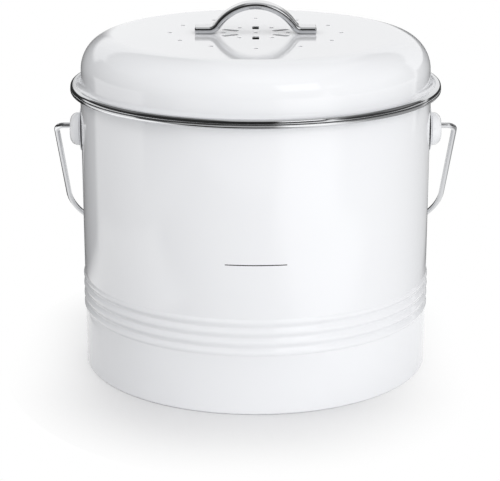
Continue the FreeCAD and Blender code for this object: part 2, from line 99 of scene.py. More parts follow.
def linear(hex_colour):
    """An sRGB hex colour as linear red, green and blue."""
    channels = [int(hex_colour[start:start + 2], 16) / 255 for start in (1, 3, 5)]
    return [c / 12.92 if c <= 0.04045 else ((c + 0.055) / 1.055) ** 2.4 for c in channels]


def length(name, description, default):
    """A size in metres that a user may change."""
    return bpy.props.FloatProperty(name=name, description=description, default=default, precision=5,
                                   unit="LENGTH", subtype="DISTANCE")


def colour(name, description, hex_colour):
    """A colour that a user may change."""
    return bpy.props.FloatVectorProperty(name=name, description=description, default=linear(hex_colour),
                                         min=0.0, max=1.0, size=3, subtype="COLOR")


def count(name, description, default):
    """A number of like things that a user may change."""
    return bpy.props.IntProperty(name=name, description=description, default=default, min=1)


def angle(name, description, degrees):
    """An angle that a user may change."""
    return bpy.props.FloatProperty(name=name, description=description, default=math.radians(degrees),
                                   subtype="ANGLE")


def location(name, description, default):
    """A place, or a size along each axis, in metres, that a user may change."""
    return bpy.props.FloatVectorProperty(name=name, description=description, default=default, precision=5,
                                         unit="LENGTH", subtype="XYZ")


class PailSizes(bpy.types.PropertyGroup):
    """Sizes of the pail, its printed rule, its ears and the two rim bands."""
    wall_radius: length("Wall radius", "Outside of the wall, where the ears stand on it", EAR_LOW.x)
    gauge: length("Sheet gauge", "Coated steel sheet", 0.6 * MM)
    base_round: length("Base round", "Outside radius where the wall turns under", 1.2 * MM)
    base_ledge: length("Base ledge", "Width of the ring that the pail stands on", 5.0 * MM)
    rib_count: count("Ribs", "Rolled ribs round the wall", 4)
    rib_pitch: length("Rib pitch", "From rib to rib", 5.8 * MM)
    rib_rise: length("Rib rise", "Corner of a rib beyond the wall, before it is rounded", 1.05 * MM)
    rib_sink: length("Rib sink", "Corner of a valley below the wall, before it is rounded", 0.75 * MM)
    rib_top: length("Rib top", "Table to the uppermost rib", 53.1 * MM)
    crest_round: length("Crest round", "Radius on top of a rib", 2.2 * MM)
    valley_round: length("Valley round", "Radius between ribs", 1.2 * MM)
    flange_radius: length("Flange radius", "Edge of the flange at the mouth", WALL_HIGH.x)
    flange_top: length("Flange top", "Table to the top of that flange", WALL_HIGH.z)
    flange_fillet: length("Flange fillet", "Radius under that flange", 2.2 * MM)
    floor_round: length("Floor round", "Outside radius at the edge of the floor", 2.6 * MM)
    rule_height: length("Rule height", "Table to the printed rule", 85.4 * MM)
    rule_reach: length("Rule reach", "Half of that rule's length", 16.6 * MM)
    rule_thickness: length("Rule thickness", "Half of that rule's thickness", 0.27 * MM)
    band_web: length("Band web", "Thickness of a rim band at its outer edge", 0.6 * MM)
    band_start: length("Band start", "Wall to the inner edge of the rim band", 2.3 * MM)
    band_curl: length("Band curl", "Radius of the lower edge of the pail's rim band", 1.5 * MM)
    band_edge: length("Band edge", "Radius of the upper edge of the pail's rim band", 0.4 * MM)
    band_lip: length("Band lip", "Radius of the lower edge of the lid's rim band", 0.3 * MM)
    band_shoulder: length("Band shoulder", "Radius of the upper edge of the lid's rim band", 1.6 * MM)
    band_lean: length("Band lean", "How far the face of the lid's rim band leans inwards", 0.35 * MM)
    ear_radius: length("Ear radius", "Dome of an ear", 9.5 * MM)
    ear_gauge: length("Ear gauge", "Sheet of an ear", 1.0 * MM)
    ear_round: length("Ear round", "Radius of the dome's edge", 4.6 * MM)
    ear_flange: length("Ear flange", "Thickness of an ear's flange", 0.5 * MM)
    ear_joint: length("Ear joint", "Width of the joint between dome and flange", 0.5 * MM)
    ear_neck: length("Ear neck", "Radius of the ear inside that joint", 8.0 * MM)
    ear_edge: length("Ear edge", "Softened edges of dome and flange", 0.25 * MM)
    ear_hang: length("Ear hang", "How far the flange hangs below the dome's centre", 2.0 * MM)
    ear_hole: length("Ear hole", "Radius of the hole for the bail", 1.9 * MM)


class LidSizes(bpy.types.PropertyGroup):
    """Sizes of the lid, its vents, its strap and its filter."""
    side_radius: length("Side radius", "Outside of the lid's side", EAR_LOW.x - 0.6 * MM)
    gauge: length("Sheet gauge", "Coated steel sheet", 0.6 * MM)
    shoulder: length("Shoulder", "Radius of the lid's shoulder", 19.5 * MM)
    flange_fillet: length("Flange fillet", "Radius between the lid's side and its flange", 3.0 * MM)
    band_start: length("Band start", "Lid's side to the inner edge of the rim band", 3.1 * MM)
    vent_radius: length("Vent radius", "Small vent holes", 1.3 * MM)
    vent_ring: length("Vent ring", "Lid's centre to the outer vent holes", 48.6 * MM)
    vent_count: count("Vents", "Outer vent holes", 12)
    inner_ring: length("Inner ring", "Lid's centre to the inner vent holes", 18.3 * MM)
    inner_count: count("Inner vents", "Inner vent holes, and slots between them", 6)
    slot_start: length("Slot start", "Lid's centre to the near end of a slot", 11.5 * MM)
    slot_length: length("Slot length", "Vent slots", 10.0 * MM)
    slot_width: length("Slot width", "Vent slots", 3.8 * MM)
    slot_round: length("Slot round", "Corners of the vent slots", 0.8 * MM)
    collar_round: length("Collar round", "Edges of the locating collar", 0.25 * MM)
    strap_thickness: length("Strap thickness", "Strap handle", 4.0 * MM)
    strap_round: length("Strap round", "Long edges of the strap", 1.7 * MM)
    strap_tip: length("Strap tip", "Softened edge at each end of the strap", 0.7 * MM)
    crown_round: length("Crown round", "Outside radius of the strap's crown", 28.0 * MM)
    foot_bend: length("Foot bend", "Radius where foot and leg meet, on top", 4.0 * MM)
    leg_slope: angle("Leg slope", "Slope of the strap's legs", 56)
    screw_place: length("Screw place", "Lid's centre to the strap's screws", 30.41 * MM)
    screw_hole: length("Screw hole", "Radius of the holes for those screws", 2.2 * MM)
    foam_skin: length("Foam skin", "How far the filter's pores sink below its outline", 0.9 * MM)
    foam_cell: length("Foam cell", "Width of the filter's larger pores", 2.4 * MM)
    foam_mesh: length("Foam mesh", "Width of the squares that the filter is drawn with", 0.85 * MM)


class BailSizes(bpy.types.PropertyGroup):
    """Sizes of the wire bail."""
    wire_radius: length("Wire radius", "Wire of the bail", 1.6 * MM)
    corner_round: length("Corner round", "Centre radius of the large bends", 60.0 * MM)
    ear_bend: length("Ear bend", "Centre radius of the bends beside the ears", 4.5 * MM)
    head_radius: length("Head radius", "Upset head on each end of the wire", 3.25 * MM)
    head_length: length("Head length", "Length of that head", 2.0 * MM)
    head_face: length("Head face", "Pail's middle to the outer face of that head", EAR_HIGH.x - 1.5 * MM)
    wire_sides: count("Wire sides", "Sides of the wire's section", 28)


class BinColours(bpy.types.PropertyGroup):
    """Colours of the finishes and of the studio."""
    coat: colour("Coat", "White powder coat", "#F2F3F5")
    coat_shade: colour("Coat shade", "The same coat where it lies a little thinner", "#EFF0F3")
    ink: colour("Ink", "Printed rule on the front", "#1B1B1D")
    steel: colour("Steel", "Polished stainless steel", "#D4D5D7")
    zinc: colour("Zinc", "Zinc plating", "#AEB1B6")
    zinc_shade: colour("Zinc shade", "Darker crystals of the plating", "#94979D")
    charcoal: colour("Charcoal", "Struts of the foam", "#1D1D1E")
    # Painted shade: the deeper black that the foam's pores are painted, for the shade inside them.
    pore_shade: colour("Charcoal pore", "Pores of the foam", "#050505")
    paper: colour("Paper", "Studio floor", "#E9E9EA")


class StudioSizes(bpy.types.PropertyGroup):
    """The photograph's view, the paper and the light."""
    camera_place: location("Camera place", "Where the camera stands", (-0.0032, -1.0, 0.3692))
    camera_pitch: angle("Camera pitch", "How far the camera looks down", 16.69)
    camera_lens: bpy.props.FloatProperty(name="Lens", description="Focal length in millimetres",
                                         default=128.0, unit="CAMERA")
    paper_reach: location("Paper reach", "Half sizes of the white paper", (0.148, 0.185, 1.0))
    shade_start: location("Shade start", "Front end of the shadow's spine", (-0.02, -0.06, 0.0))
    shade_end: location("Shade end", "Back end of the shadow's spine", (0.0, 0.05, 0.0))
    fade_start: length("Fade start", "That spine to where the paper starts to fade to white", 0.03)
    fade_end: length("Fade end", "That spine to where the paper is white", 0.125)
    light_level: bpy.props.FloatProperty(name="Light level", description="Light from all round",
                                         default=0.63)
    light_slope: bpy.props.FloatVectorProperty(name="Light slope",
                                               description="How the light grows along each axis",
                                               default=(0.2, -0.36, 0.1), subtype="XYZ")


def select_none():
    """Leave nothing selected, in object mode."""
    if bpy.context.mode != "OBJECT":
        bpy.ops.object.mode_set(mode="OBJECT")
    bpy.ops.object.select_all(action="DESELECT")


def chords_of(turn, radius):
    """How many chords draw an arc."""
    return max(ARC_CHORDS, math.ceil(turn / (2 * math.acos(1 - CHORD_SAG / radius))))


def rounded(corners, closed=False):
    """Points of an outline. A corner is (across, up), or (across, up, radius) where it is rounded."""
    spots = [Vector(corner[:2]) for corner in corners]
    points = []
    for index, corner in enumerate(corners):
        spot = spots[index]
        if len(corner) == 2:
            points.append(spot)
            continue
        to_before = (spots[index - 1] - spot).normalized()
        to_after = (spots[(index + 1) % len(spots)] - spot).normalized()
        radius = corner[2]
        half = to_before.angle(to_after) / 2
        turn = math.pi - 2 * half
        chords = chords_of(turn, radius)
        centre = spot + (to_before + to_after).normalized() * (radius / math.sin(half))
        arm = spot + to_before * (radius / math.tan(half)) - centre
        way = math.copysign(1.0, to_before.cross(to_after))
        for step in range(chords + 1):
            points.append(centre + Matrix.Rotation(-way * turn * step / chords, 2) @ arm)
    if closed:
        points.append(points[0])
    return points


def extrude(way):
    """Carry what is selected along, and leave a new edge or face behind it."""
    bpy.ops.mesh.extrude_region_move(TRANSFORM_OT_translate={"value": way})


def draw_line(places):
    """A new mesh, left in edit mode: one point, extruded from place to place."""
    select_none()
    bpy.ops.mesh.primitive_plane_add(size=MM, location=ORIGIN)
    bpy.ops.object.mode_set(mode="EDIT")
    bpy.ops.mesh.merge(type="CENTER")
    bpy.ops.transform.translate(value=places[0])
    for before, after in zip(places, places[1:]):
        extrude(after - before)
    close_seams()


def close_seams():
    """Merge the doubles of the mesh that is being edited, and turn its faces outwards."""
    bpy.ops.mesh.select_all(action="SELECT")
    bpy.ops.mesh.remove_doubles(threshold=MERGE)
    bpy.ops.mesh.normals_make_consistent(inside=False)


def spin_outline(places, centre, axis, steps):
    """Turn a drawn outline once round an axis."""
    draw_line(places)
    bpy.ops.mesh.spin(steps=steps, angle=math.tau, center=centre, axis=axis)
    close_seams()
    bpy.ops.object.mode_set(mode="OBJECT")
    return bpy.context.object


def turned(outline):
    """Turn an outline of (radius, height) points round the bin's upright axis."""
    places = [Vector((point.x, 0.0, point.y)) for point in outline]
    return spin_outline(places, ORIGIN, UPRIGHT, WIDE_STEPS)


def apply_modifier(piece, kind, **settings):
    """Add a modifier with its settings, and apply it."""
    bpy.context.view_layer.objects.active = piece
    modifier = piece.modifiers.new(kind.lower(), kind)
    for key, setting in settings.items():
        setattr(modifier, key, setting)
    bpy.ops.object.modifier_apply(modifier=modifier.name)


def thicken(piece, gauge, spot, outside):
    """Give a pressed sheet its thickness on the inside. At the spot, its outside faces this way."""
    normal = piece.closest_point_on_mesh(spot)[2]
    if normal.dot(outside) < 0:
        bpy.ops.object.mode_set(mode="EDIT")
        bpy.ops.mesh.select_all(action="SELECT")
        bpy.ops.mesh.flip_normals()
        bpy.ops.object.mode_set(mode="OBJECT")
    apply_modifier(piece, "SOLIDIFY", thickness=gauge, offset=-1.0, use_even_offset=True)


def carry_along(path):
    """Carry the selected ring along a line of (corner, radius of the bend there), in edit mode."""
    here = path[0][0]
    for (corner, radius), (beyond, _) in zip(path[1:-1], path[2:]):
        ahead = (corner - here).normalized()
        away = (beyond - corner).normalized()
        turn = ahead.angle(away)
        start = corner - ahead * radius * math.tan(turn / 2)
        axis = ahead.cross(away).normalized()
        centre = start + axis.cross(ahead) * radius
        extrude(start - here)
        # Spin turns clockwise about its axis, so a turn to the left has a negative angle.
        bpy.ops.mesh.spin(steps=chords_of(turn, radius), angle=-turn, center=centre, axis=axis)
        here = start + Matrix.Rotation(turn, 3, axis) @ (start - centre) - (start - centre)
    extrude(path[-1][0] - here)


def cap_ends():
    """Close the open ends of the mesh that is being edited, and turn its faces outwards."""
    bpy.ops.mesh.select_all(action="DESELECT")
    bpy.ops.mesh.select_non_manifold()
    bpy.ops.mesh.fill_holes(sides=0)
    close_seams()


def finish_piece(piece, name, body, slot, finish, *nodes):
    """Name and shade a piece, give it its finish, and put it on its body in place of its solids."""
    select_none()
    piece.name = name
    piece.data.name = name
    piece.select_set(True)
    bpy.context.view_layer.objects.active = piece
    bpy.ops.object.shade_smooth_by_angle(angle=CRISP)
    apply_modifier(piece, "WEIGHTED_NORMAL", keep_sharp=True)
    piece.data.materials.clear()
    piece.data.materials.append(material_of(finish))
    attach(piece, body)
    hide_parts(*nodes)


def add(tree, kind, settings, links=()):
    """Add a node, set its properties (lower case) and sockets, and link (output, socket) pairs into it."""
    node = tree.nodes.new(kind)
    for key, setting in settings.items():
        if isinstance(key, str) and key.islower():
            setattr(node, key, setting)
        else:
            node.inputs[key].default_value = setting
    for output, key in links:
        tree.links.new(output, node.inputs[key])
    return node


WHITE = (1.0, 1.0, 1.0, 1.0)
# Sockets of a Mix node that mixes colours.
FACTOR, FIRST, SECOND, MIXED = 0, 6, 7, 2
# Waves of orange peel in the coat, and how deep they are.
PEEL_WAVE = 2.6 * MM
PEEL_DEPTH = 0.006 * MM
# Patches of the coat, as wide as a hand.
COAT_PATCH = 70 * MM
# Waves that buffing leaves in the steel, and how deep they are.
BUFF_WAVE = 4 * MM
BUFF_DEPTH = 0.004 * MM
# Crystals of zinc, drawn about twice as wide as real ones so that they show.
CRYSTAL_WIDTH = 1.0 * MM
# Open cells of the foam, and how deep they are.
PORE_WIDTH = 1.5 * MM
PORE_DEPTH = 0.5 * MM
# Grain that the fibres give the paper, and how deep it is.
GRAIN_WIDTH = 0.5 * MM
GRAIN_DEPTH = 0.02 * MM
# Least and most roughness of the finishes whose gloss varies.
COAT_GLOSS = (0.04, 0.08)
STEEL_HAZE = (0.05, 0.13)
ZINC_SATIN = (0.28, 0.42)


def new_material(name, make):
    """A node material, with the shader that a function makes from its tree and its texture coordinates."""
    material = bpy.data.materials.new(name)
    material.use_nodes = True
    tree = material.node_tree
    tree.nodes.clear()
    shader = make(tree, add(tree, "ShaderNodeTexCoord", {}))
    add(tree, "ShaderNodeOutputMaterial", {}, [(shader, "Surface")])
    return material


def material_of(finish):
    """The one material that a function below makes, which has that function's name."""
    return bpy.data.materials.get(finish.__name__) or new_material(finish.__name__, finish)


def opaque(rgb):
    """Red, green and blue, with an alpha of one."""
    return (*rgb, 1.0)


def printed_rule(tree, where, tint):
    """Lay a thin screen-printed rule over a coat, on the front of the wall."""
    sizes = bpy.context.scene.pail_sizes
    axes = add(tree, "ShaderNodeSeparateXYZ", {}, [(where, "Vector")])
    front = add(tree, "ShaderNodeMath", {"operation": "LESS_THAN", 1: 0.0}, [(axes.outputs["Y"], 0)])
    along = add(tree, "ShaderNodeMath", {"operation": "COMPARE", 1: 0.0, 2: sizes.rule_reach},
                [(axes.outputs["X"], 0)])
    level = add(tree, "ShaderNodeMath", {"operation": "COMPARE", 1: sizes.rule_height,
                                         2: sizes.rule_thickness}, [(axes.outputs["Z"], 0)])
    strip = add(tree, "ShaderNodeMath", {"operation": "MULTIPLY"},
                [(along.outputs["Value"], 0), (level.outputs["Value"], 1)])
    mask = add(tree, "ShaderNodeMath", {"operation": "MULTIPLY"},
               [(strip.outputs["Value"], 0), (front.outputs["Value"], 1)])
    ink = opaque(bpy.context.scene.bin_colours.ink)
    printed = add(tree, "ShaderNodeMix", {"data_type": "RGBA", SECOND: ink},
                  [(mask.outputs["Value"], FACTOR), (tint, FIRST)])
    return printed.outputs[MIXED]


def white_powder_coat(tree, place, print_over=None):
    """Gloss polyester powder coat, baked on sheet steel.

    The powder melts and levels as it bakes, which leaves a wet-looking gloss with a faint orange peel."""
    colours = bpy.context.scene.bin_colours
    where = place.outputs["Object"]
    peel = add(tree, "ShaderNodeTexNoise", {"Scale": 1 / PEEL_WAVE, "Detail": 1.0}, [(where, "Vector")])
    waves = add(tree, "ShaderNodeBump", {"Strength": 0.6, "Distance": PEEL_DEPTH},
                [(peel.outputs["Fac"], "Height")])
    # The coat is a little thinner, and its gloss a little lower, in patches.
    cloud = add(tree, "ShaderNodeTexNoise", {"Scale": 1 / COAT_PATCH, "Detail": 2.0}, [(where, "Vector")])
    gloss = add(tree, "ShaderNodeMapRange", {"To Min": COAT_GLOSS[0], "To Max": COAT_GLOSS[1]},
                [(cloud.outputs["Fac"], "Value")])
    coat = add(tree, "ShaderNodeMix", {"data_type": "RGBA", FIRST: opaque(colours.coat),
                                       SECOND: opaque(colours.coat_shade)},
               [(cloud.outputs["Fac"], FACTOR)])
    tint = coat.outputs[MIXED]
    if print_over:
        tint = print_over(tree, where, tint)
    shader = add(tree, "ShaderNodeBsdfPrincipled", {"IOR": 1.5}, [
        (tint, "Base Color"), (gloss.outputs["Result"], "Roughness"), (waves.outputs["Normal"], "Normal")])
    return shader.outputs["BSDF"]


def printed_powder_coat(tree, place):
    """The same coat, with a rule printed on it."""
    return white_powder_coat(tree, place, printed_rule)


def polished_stainless(tree, place):
    """Stainless steel, rolled or drawn, then buffed to a mirror.

    Buffing leaves a bright, slightly hazy mirror, with faint waves of more and less haze."""
    colours = bpy.context.scene.bin_colours
    buffing = add(tree, "ShaderNodeTexNoise", {"Scale": 1 / BUFF_WAVE, "Detail": 4.0, "Roughness": 0.6},
                  [(place.outputs["Object"], "Vector")])
    haze = add(tree, "ShaderNodeMapRange", {"To Min": STEEL_HAZE[0], "To Max": STEEL_HAZE[1]},
               [(buffing.outputs["Fac"], "Value")])
    waves = add(tree, "ShaderNodeBump", {"Strength": 0.3, "Distance": BUFF_DEPTH},
                [(buffing.outputs["Fac"], "Height")])
    shader = add(tree, "ShaderNodeBsdfPrincipled", {"Base Color": opaque(colours.steel), "Metallic": 1.0}, [
        (haze.outputs["Result"], "Roughness"), (waves.outputs["Normal"], "Normal")])
    return shader.outputs["BSDF"]


def zinc_plated_steel(tree, place):
    """Steel strip and screws, electroplated with zinc.

    The plating is a satin blue-grey with fine crystals of lighter and darker metal."""
    colours = bpy.context.scene.bin_colours
    crystal = add(tree, "ShaderNodeTexVoronoi", {"Scale": 1 / CRYSTAL_WIDTH},
                  [(place.outputs["Object"], "Vector")])
    bright = add(tree, "ShaderNodeRGBToBW", {}, [(crystal.outputs["Color"], "Color")])
    tint = add(tree, "ShaderNodeMix", {"data_type": "RGBA", FIRST: opaque(colours.zinc),
                                       SECOND: opaque(colours.zinc_shade)},
               [(bright.outputs["Val"], FACTOR)])
    satin = add(tree, "ShaderNodeMapRange", {"To Min": ZINC_SATIN[0], "To Max": ZINC_SATIN[1]},
                [(bright.outputs["Val"], "Value")])
    shader = add(tree, "ShaderNodeBsdfPrincipled", {"Metallic": 1.0}, [
        (tint.outputs[MIXED], "Base Color"), (satin.outputs["Result"], "Roughness")])
    return shader.outputs["BSDF"]


def charcoal_foam_pad(tree, place):
    """Reticulated polyurethane foam, soaked with activated charcoal.

    Only the struts of its open cells are left, matt and near black; the deeper black between them is
    painted shade in the sunk pores."""
    colours = bpy.context.scene.bin_colours
    cell = add(tree, "ShaderNodeTexVoronoi", {"Scale": 1 / PORE_WIDTH, "feature": "DISTANCE_TO_EDGE"},
               [(place.outputs["Object"], "Vector")])
    # Pore centres, far from the struts, are sunk by the bump and painted darker as painted shade.
    pore_depth_and_shade = add(tree, "ShaderNodeMapRange", {"From Min": 0.02, "From Max": 0.3},
                [(cell.outputs["Distance"], "Value")])
    tint = add(tree, "ShaderNodeMix", {"data_type": "RGBA", FIRST: opaque(colours.charcoal),
                                       SECOND: opaque(colours.pore_shade)},
               [(pore_depth_and_shade.outputs["Result"], FACTOR)])
    sunk = add(tree, "ShaderNodeBump", {"Strength": 1.0, "Distance": PORE_DEPTH, "invert": True},
               [(pore_depth_and_shade.outputs["Result"], "Height")])
    shader = add(tree, "ShaderNodeBsdfPrincipled", {"Roughness": 0.9}, [
        (tint.outputs[MIXED], "Base Color"), (sunk.outputs["Normal"], "Normal")])
    return shader.outputs["BSDF"]


class COMPOST_OT_pail(bpy.types.Operator):
    """Roll the pail's coated wall with its ribs and flange, and press its floor"""
    bl_idname = "compost.pail"
    bl_label = "Pail"

    def execute(self, context):
        sizes = context.scene.pail_sizes
        slope = math.atan(2 * (sizes.rib_rise + sizes.rib_sink) / sizes.rib_pitch)
        end_reach = sizes.rib_rise / math.tan(slope)
        lowest = sizes.rib_top - (sizes.rib_count - 1) * sizes.rib_pitch
        crest = sizes.wall_radius + sizes.rib_rise
        valley = sizes.wall_radius - sizes.rib_sink
        ribs = [(sizes.wall_radius, lowest - end_reach, sizes.valley_round)]
        for number in range(sizes.rib_count):
            height = lowest + number * sizes.rib_pitch
            if number:
                ribs.append((valley, height - sizes.rib_pitch / 2, sizes.valley_round))
            ribs.append((crest, height, sizes.crest_round))
        ribs.append((sizes.wall_radius, sizes.rib_top + end_reach, sizes.valley_round))
        flange = sizes.flange_top - sizes.gauge
        wall = turned(rounded([
            (sizes.wall_radius - sizes.base_ledge, WALL_LOW.z),
            (sizes.wall_radius, WALL_LOW.z, sizes.base_round),
            *ribs,
            (sizes.wall_radius, flange, sizes.flange_fillet),
            (sizes.flange_radius, flange),
        ]))
        thicken(wall, sizes.gauge, Vector((sizes.wall_radius, 0.0, PIVOT)), ACROSS)
        finish_piece(wall, "coated_wall", "pail", "white_coating", printed_powder_coat, "pail_wall")
        floor = turned(rounded([
            (0.0, FLOOR_HIGH.z),
            (FLOOR_HIGH.x, FLOOR_HIGH.z, sizes.floor_round),
            (FLOOR_HIGH.x, FLOOR_LOW.z),
        ]))
        thicken(floor, sizes.gauge, Vector((sizes.wall_radius / 2, 0.0, FLOOR_HIGH.z)), UPRIGHT)
        finish_piece(floor, "coated_floor", "pail", "white_coating", white_powder_coat, "pail_floor")
        return {"FINISHED"}


def rolled_band(low, high, start, flange_under, flange_over, lower_round, upper_round, lean=0.0):
    """A band rolled over a flange, with a slot for that flange. Its face may lean inwards at the top."""
    sizes = bpy.context.scene.pail_sizes
    slot_end = high.x - sizes.band_web
    return turned(rounded([
        (start, low.z),
        (high.x, low.z, lower_round),
        (high.x - lean, high.z, upper_round),
        (start, high.z),
        (start, flange_over),
        (slot_end, flange_over),
        (slot_end, flange_under),
        (start, flange_under),
    ], closed=True))


class COMPOST_OT_rim_bands(bpy.types.Operator):
    """Roll the polished bands over the flanges of the pail and the lid"""
    bl_idname = "compost.rim_bands"
    bl_label = "Rim bands"

    def execute(self, context):
        pail = context.scene.pail_sizes
        lid = context.scene.lid_sizes
        band = rolled_band(PAIL_RIM_LOW, PAIL_RIM_HIGH, pail.wall_radius + pail.band_start,
                           pail.flange_top - pail.gauge, pail.flange_top, pail.band_curl, pail.band_edge)
        finish_piece(band, "polished_pail_band", "pail", "polished_steel", polished_stainless,
                     "pail_rim_band")
        band = rolled_band(LID_RIM_LOW, LID_RIM_HIGH, lid.side_radius + lid.band_start,
                           LID_LOW.z, LID_LOW.z + lid.gauge, pail.band_lip, pail.band_shoulder,
                           pail.band_lean)
        finish_piece(band, "polished_lid_band", "lid", "polished_steel", polished_stainless, "lid_rim_band")
        return {"FINISHED"}


class COMPOST_OT_ears(bpy.types.Operator):
    """Press the two domed ears that the bail swings in"""
    bl_idname = "compost.ears"
    bl_label = "Ears"

    def execute(self, context):
        sizes = context.scene.pail_sizes
        wide = EAR_HIGH.z - PIVOT
        flange = EAR_LOW.x + sizes.ear_flange
        rim = flange + sizes.ear_joint
        ceiling = EAR_HIGH.x - sizes.ear_gauge
        hollow = sizes.ear_neck - sizes.ear_gauge
        outline = rounded([
            (EAR_LOW.x, hollow),
            (EAR_LOW.x, wide, sizes.ear_edge),
            (flange, wide, sizes.ear_edge),
            (flange, sizes.ear_neck),
            (rim, sizes.ear_neck),
            (rim, sizes.ear_radius, sizes.ear_edge),
            (EAR_HIGH.x, sizes.ear_radius, sizes.ear_round),
            (EAR_HIGH.x, sizes.ear_hole),
            (ceiling, sizes.ear_hole),
            (ceiling, hollow),
        ], closed=True)
        for side, node in ((1, "right_ear"), (-1, "left_ear")):
            places = [Vector((side * point.x, 0.0, PIVOT + point.y)) for point in outline]
            ear = spin_outline(places, PIVOT_MIDDLE, ACROSS, EAR_STEPS)
            for vertex in ear.data.vertices:
                vertex.select = (vertex.co - PIVOT_MIDDLE).yz.length > sizes.ear_radius + sizes.ear_edge
            bpy.ops.object.mode_set(mode="EDIT")
            bpy.ops.transform.translate(value=(0.0, 0.0, -sizes.ear_hang))
            bpy.ops.object.mode_set(mode="OBJECT")
            finish_piece(ear, "coated_" + node, "pail", "white_coating", white_powder_coat, node)
        return {"FINISHED"}


class COMPOST_OT_bail(bpy.types.Operator):
    """Bend the wire bail, with an upset head inside each ear"""
    bl_idname = "compost.bail"
    bl_label = "Bail"

    def execute(self, context):
        sizes = context.scene.bail_sizes
        leg = BAIL_HIGH.x - sizes.wire_radius
        drop = Vector((0.0, BAIL_HIGH.y - sizes.wire_radius, BAIL_LOW.z + sizes.wire_radius - PIVOT))
        right, left = Vector((leg, 0.0, 0.0)), Vector((-leg, 0.0, 0.0))
        face = Vector((sizes.head_face, 0.0, 0.0))
        back = face - ACROSS * sizes.head_length
        slim = sizes.wire_radius / sizes.head_radius
        stout = sizes.head_radius / sizes.wire_radius
        select_none()
        bpy.ops.mesh.primitive_circle_add(vertices=sizes.wire_sides, radius=sizes.head_radius,
                                          location=PIVOT_MIDDLE + back, rotation=(0.0, math.pi / 2, 0.0))
        bpy.ops.object.transform_apply(location=True, rotation=True, scale=True)
        bpy.ops.object.mode_set(mode="EDIT")
        bpy.ops.mesh.select_all(action="SELECT")
        extrude(face - back)
        extrude(ORIGIN)
        bpy.ops.transform.resize(value=(1.0, slim, slim), center_override=PIVOT_MIDDLE + face)
        carry_along([
            (PIVOT_MIDDLE + face, 0.0),
            (PIVOT_MIDDLE + right, sizes.ear_bend),
            (PIVOT_MIDDLE + right + drop, sizes.corner_round),
            (PIVOT_MIDDLE + left + drop, sizes.corner_round),
            (PIVOT_MIDDLE + left, sizes.ear_bend),
            (PIVOT_MIDDLE - face, 0.0),
        ])
        extrude(ORIGIN)
        bpy.ops.transform.resize(value=(1.0, stout, stout), center_override=PIVOT_MIDDLE - face)
        extrude(face - back)
        cap_ends()
        bpy.ops.object.mode_set(mode="OBJECT")
        finish_piece(context.object, "polished_bail", "bail", "polished_steel", polished_stainless,
                     "bail_wire")
        return {"FINISHED"}


def punch(lid, cutters):
    """Cut a group of punches out of the lid, and put the punches away."""
    select_none()
    for cutter in cutters:
        cutter.select_set(True)
    bpy.context.view_layer.objects.active = cutters[0]
    bpy.ops.object.join()
    tool = bpy.context.object
    bpy.ops.object.transform_apply(location=True, rotation=True, scale=True)
    apply_modifier(lid, "BOOLEAN", operation="DIFFERENCE", solver="EXACT", object=tool)
    bpy.data.objects.remove(tool)


class COMPOST_OT_lid(bpy.types.Operator):
    """Press the coated lid, punch its vents, and roll the collar inside it"""
    bl_idname = "compost.lid"
    bl_label = "Lid"

    def hole(self, radius, reach, bearing):
        """A round punch through the lid's top, at a bearing from +X."""
        select_none()
        spot = Vector((reach * math.cos(bearing), reach * math.sin(bearing), LID_HIGH.z))
        bpy.ops.mesh.primitive_cylinder_add(vertices=PUNCH_SIDES, radius=radius,
                                            depth=PUNCH_REACH * radius, location=spot)
        return bpy.context.object

    def slot(self, sizes, bearing):
        """A slot punch along a bearing, with its upright edges rounded."""
        select_none()
        middle = sizes.slot_start + sizes.slot_length / 2
        spot = Vector((middle * math.cos(bearing), middle * math.sin(bearing), LID_HIGH.z))
        bpy.ops.mesh.primitive_cube_add(size=1.0, location=spot, rotation=(0.0, 0.0, bearing))
        punch_tool = bpy.context.object
        punch_tool.scale = (sizes.slot_length, sizes.slot_width, sizes.slot_width)
        bpy.ops.object.transform_apply(location=False, rotation=False, scale=True)
        bpy.ops.object.mode_set(mode="EDIT")
        bpy.ops.mesh.select_all(action="DESELECT")
        bpy.ops.object.mode_set(mode="OBJECT")
        for edge in punch_tool.data.edges:
            first, second = (punch_tool.data.vertices[end].co for end in edge.vertices)
            edge.select = abs(first.z - second.z) > sizes.slot_width / 2
        bpy.ops.object.mode_set(mode="EDIT")
        bpy.ops.mesh.bevel(offset=sizes.slot_round, segments=SLOT_STEPS)
        bpy.ops.object.mode_set(mode="OBJECT")
        return punch_tool

    def execute(self, context):
        sizes = context.scene.lid_sizes
        lid = turned(rounded([
            (sizes.vent_radius, LID_HIGH.z),
            (sizes.side_radius, LID_HIGH.z, sizes.shoulder),
            (sizes.side_radius, LID_LOW.z + sizes.gauge, sizes.flange_fillet),
            (LID_HIGH.x, LID_LOW.z + sizes.gauge),
        ]))
        thicken(lid, sizes.gauge, Vector((sizes.side_radius / 2, 0.0, LID_HIGH.z)), UPRIGHT)
        cutters = []
        for index in range(sizes.vent_count):
            bearing = math.tau * index / sizes.vent_count
            cutters.append(self.hole(sizes.vent_radius, sizes.vent_ring, bearing))
        for index in range(sizes.inner_count):
            bearing = math.tau * index / sizes.inner_count
            cutters.append(self.hole(sizes.vent_radius, sizes.inner_ring, bearing))
            cutters.append(self.slot(sizes, bearing + math.pi / sizes.inner_count))
        for bearing in (0.0, math.pi):
            cutters.append(self.hole(sizes.screw_hole, sizes.screw_place, bearing))
        punch(lid, cutters)
        finish_piece(lid, "coated_lid", "lid", "white_coating", white_powder_coat, "lid_shell")
        inner = COLLAR_HIGH.x - sizes.gauge
        collar = turned(rounded([
            (inner, COLLAR_LOW.z, sizes.collar_round),
            (COLLAR_HIGH.x, COLLAR_LOW.z, sizes.collar_round),
            (COLLAR_HIGH.x, COLLAR_HIGH.z, sizes.collar_round),
            (inner, COLLAR_HIGH.z, sizes.collar_round),
        ], closed=True))
        finish_piece(collar, "coated_collar", "lid", "white_coating", white_powder_coat, "lid_collar")
        return {"FINISHED"}


